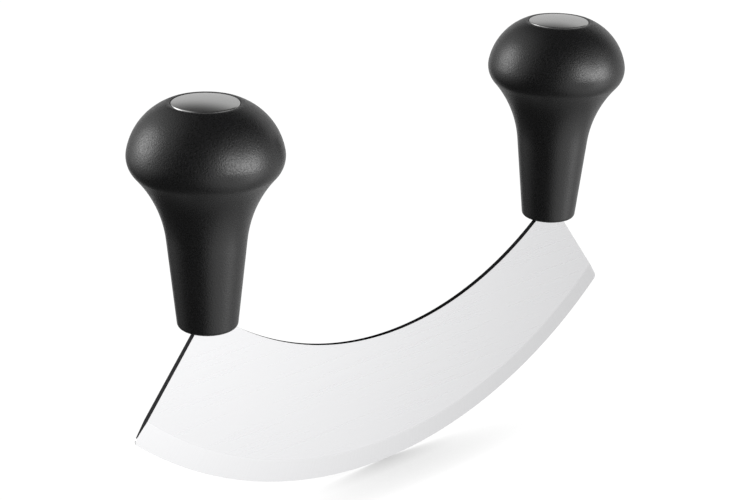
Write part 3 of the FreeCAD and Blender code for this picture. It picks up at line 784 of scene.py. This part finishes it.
zinc, tree, output = new_material("zinc_plated_steel")
place = add_node(tree, "ShaderNodeTexCoord")
clouds = add_node(
    tree, "ShaderNodeTexNoise",
    {"Vector": place.outputs["Object"], "Scale": 1 / CLOUD, "Detail": 3.0},
)
tone = add_node(
    tree, "ShaderNodeMix",
    {"Factor": clouds.outputs["Fac"], "A": linear("#a9adb3"), "B": linear("#c3c7cb")}, data_type="RGBA",
)
rough = add_node(
    tree, "ShaderNodeMapRange", {"Value": clouds.outputs["Fac"], "To Min": 0.25, "To Max": 0.45},
)
steel = add_node(
    tree, "ShaderNodeBsdfPrincipled",
    {"Base Color": tone.outputs["Result"], "Metallic": 1.0, "Roughness": rough.outputs["Result"]},
)
tree.links.new(steel.outputs["BSDF"], output.inputs["Surface"])
hardware = [node for name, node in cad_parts.items() if name not in dressed]
for node in hardware:
    node.data.materials.clear()
    node.data.materials.append(zinc)
print(zinc.name, "on", len(hardware), "nodes")

# %% [markdown]
# ## Floor
# The knife stands on a white sheet that sweeps up far behind it, as in a photographer's studio. A
# circle is filled for the floor, its rim is drawn up into a wall, and a wide bevel rounds the way from
# one to the other. The floor is there for the camera only. The steel doesn't mirror it: the light has
# its own picture of the studio, in which the lit part of the floor is one of the bright areas.

# %% White sweep
# Sizes of the stage in metres.
FLOOR_RADIUS, WALL_HEIGHT, SWEEP_ROUND = 3.0, 3.0, 1.0
FLOOR_STEPS, SWEEP_STEPS = 128, 12

start_clean()
bpy.ops.mesh.primitive_circle_add(vertices=FLOOR_STEPS, radius=FLOOR_RADIUS, fill_type="NGON")
floor = bpy.context.object
floor.name = "white_sweep"
bpy.ops.object.mode_set(mode="EDIT")
bpy.ops.mesh.select_mode(type="EDGE")
bpy.ops.mesh.select_all(action="SELECT")
bpy.ops.mesh.region_to_loop()
bpy.ops.mesh.extrude_edges_move(TRANSFORM_OT_translate={"value": (0, 0, WALL_HEIGHT)})
bpy.ops.object.mode_set(mode="OBJECT")
for edge in floor.data.edges:
    edge.select = all(abs(floor.data.vertices[index].co.z) < MM for index in edge.vertices)
bpy.ops.object.mode_set(mode="EDIT")
bpy.ops.mesh.bevel(offset=SWEEP_ROUND, segments=SWEEP_STEPS, affect="EDGES")
bpy.ops.mesh.select_all(action="SELECT")
bpy.ops.mesh.normals_make_consistent(inside=True)
bpy.ops.object.mode_set(mode="OBJECT")
bpy.ops.object.shade_smooth_by_angle(angle=SMOOTH_BELOW)
for ray in ("visible_diffuse", "visible_glossy", "visible_transmission", "visible_shadow"):
    setattr(floor, ray, False)
print("floor reaches", round(floor.dimensions.x / 2, 1), "m from the knife")

# %% [markdown]
# Paper that is lit from all sides and shown a little too bright has no shade of its own, so it is drawn
# as a glow. What is left is the small shadow where the blade touches it. Ambient occlusion asks how
# much of what lies in one direction is hidden close by: once low towards the softbox, for the long soft
# shadow, and once low along the edge, for the tight dark one.

# %% White paper and its shadow
PAPER_GLOW = 1.04
# Azimuth and elevation in degrees of where each shadow looks, and how far it looks.
shadows = {
    "long, away from the softbox": (-38, -29, 18.5 * MM),
    "tight, under the edge": (78, -16, 6.5 * MM),
}


def direction(azimuth, elevation):
    """Azimuth 0 points along +Y, away from the front, and 90 along +X, to the right."""
    turn, rise = math.radians(azimuth), math.radians(elevation)
    return Vector((math.sin(turn) * math.cos(rise), math.cos(turn) * math.cos(rise), math.sin(rise)))


paper, tree, output = new_material("white_backdrop_paper")
left_over = PAPER_GLOW
for azimuth, elevation, reach in shadows.values():
    aim = add_node(tree, "ShaderNodeCombineXYZ", dict(zip("XYZ", direction(azimuth, elevation))))
    unhidden = add_node(
        tree, "ShaderNodeAmbientOcclusion", {"Distance": reach, "Normal": aim.outputs["Vector"]},
    )
    dimmed = add_node(
        tree, "ShaderNodeMath", {0: unhidden.outputs["AO"], 1: left_over}, operation="MULTIPLY",
    )
    left_over = dimmed.outputs["Value"]
shine = add_node(tree, "ShaderNodeEmission", {"Strength": left_over})
tree.links.new(shine.outputs["Emission"], output.inputs["Surface"])
floor.data.materials.append(paper)
print(paper.name, "with shadows:", "; ".join(shadows))

# %% [markdown]
# ## Light
# The picture is lit as small metal goods often are: a softbox behind on the left, a lamp and a pale
# card in front, a dim backdrop behind on the right, and darkness overhead, which keeps the black
# handles black. Lamps would do it, but steel shows the shape of every lamp. So the world holds these
# areas as soft-edged patches: a patch is full inside its first angle from the axis, and fades out
# smoothly to its second.

# %% Soft patches of the studio
GLOOM = 0.06
# Azimuth and elevation of the axis, strength, and the two angles from the axis; all angles in degrees.
patches = {
    "softbox behind on the left": (-34, 17, 4.4, 8, 26),
    "wall round the softbox": (-35, 20, 0.88, 22, 62),
    "room in front": (163, -8, 1.04, 32, 73),
    "lamp in front": (178, 15, 5.9, 2, 22),
    "pale card on the right": (147, 6, 6.2, 2, 23),
    "wall between lamp and card": (161, 6, 4.8, 2, 17),
    "lit floor on the right": (147, -22, 1.28, 2, 22),
    "backdrop behind on the right": (59, -11, 0.56, 36, 56),
    "paper under the knife": (75, -72, 0.38, 2, 40),
}

world = bpy.data.worlds.new("studio")
bpy.context.scene.world = world
world.use_nodes = True
tree = world.node_tree
tree.nodes.clear()
seen = add_node(tree, "ShaderNodeTexCoord")
total = GLOOM
for azimuth, elevation, strength, full, faded in patches.values():
    facing = add_node(
        tree, "ShaderNodeVectorMath",
        {0: seen.outputs["Generated"], 1: direction(azimuth, elevation)}, operation="DOT_PRODUCT",
    )
    aside = add_node(tree, "ShaderNodeMath", {0: facing.outputs["Value"]}, operation="ARCCOSINE")
    patch = add_node(
        tree, "ShaderNodeMapRange",
        {
            "Value": aside.outputs["Value"],
            "From Min": math.radians(faded), "From Max": math.radians(full), "To Max": strength,
        },
        interpolation_type="SMOOTHSTEP",
    )
    added = add_node(tree, "ShaderNodeMath", {0: patch.outputs["Result"], 1: total}, operation="ADD")
    total = added.outputs["Value"]
glow = add_node(tree, "ShaderNodeBackground", {"Color": linear("#ffffff"), "Strength": total})
add_node(tree, "ShaderNodeOutputWorld", {"Surface": glow.outputs["Background"]})
bpy.context.scene.view_settings.view_transform = "Standard"
print("patches of light:", ", ".join(patches))

# %% [markdown]
# ## Camera
# The camera stands in front on the left, higher than the knobs, and looks down on the knife with a long
# lens. Its place, its turn and its lens are the ones that make the blade and both handles fall where
# the photograph has them.

# %% Camera at the photograph's angle
YAW, PITCH, ROLL = (math.radians(angle) for angle in (43.69, 20.90, -1.30))
STANDS_AT = (-353.6 * MM, -363.5 * MM, 258.3 * MM)
# Focal length and picture width are in millimetres for Blender too.
LENS, SENSOR = 93.27, 36

forward = Vector((math.sin(YAW) * math.cos(PITCH), math.cos(YAW) * math.cos(PITCH), -math.sin(PITCH)))
level_right = Vector((math.cos(YAW), -math.sin(YAW), 0))
level_down = forward.cross(level_right)
right = level_right * math.cos(ROLL) + level_down * math.sin(ROLL)
up = level_right * math.sin(ROLL) - level_down * math.cos(ROLL)

start_clean()
bpy.ops.object.camera_add()
camera = bpy.context.object
camera.data.lens = LENS
camera.data.sensor_fit = "HORIZONTAL"
camera.data.sensor_width = SENSOR
turned = Matrix((right, up, -forward)).transposed().to_4x4()
camera.matrix_world = Matrix.Translation(STANDS_AT) @ turned
bpy.context.scene.camera = camera
print("camera is", round(camera.location.length, 2), "m from the knife")
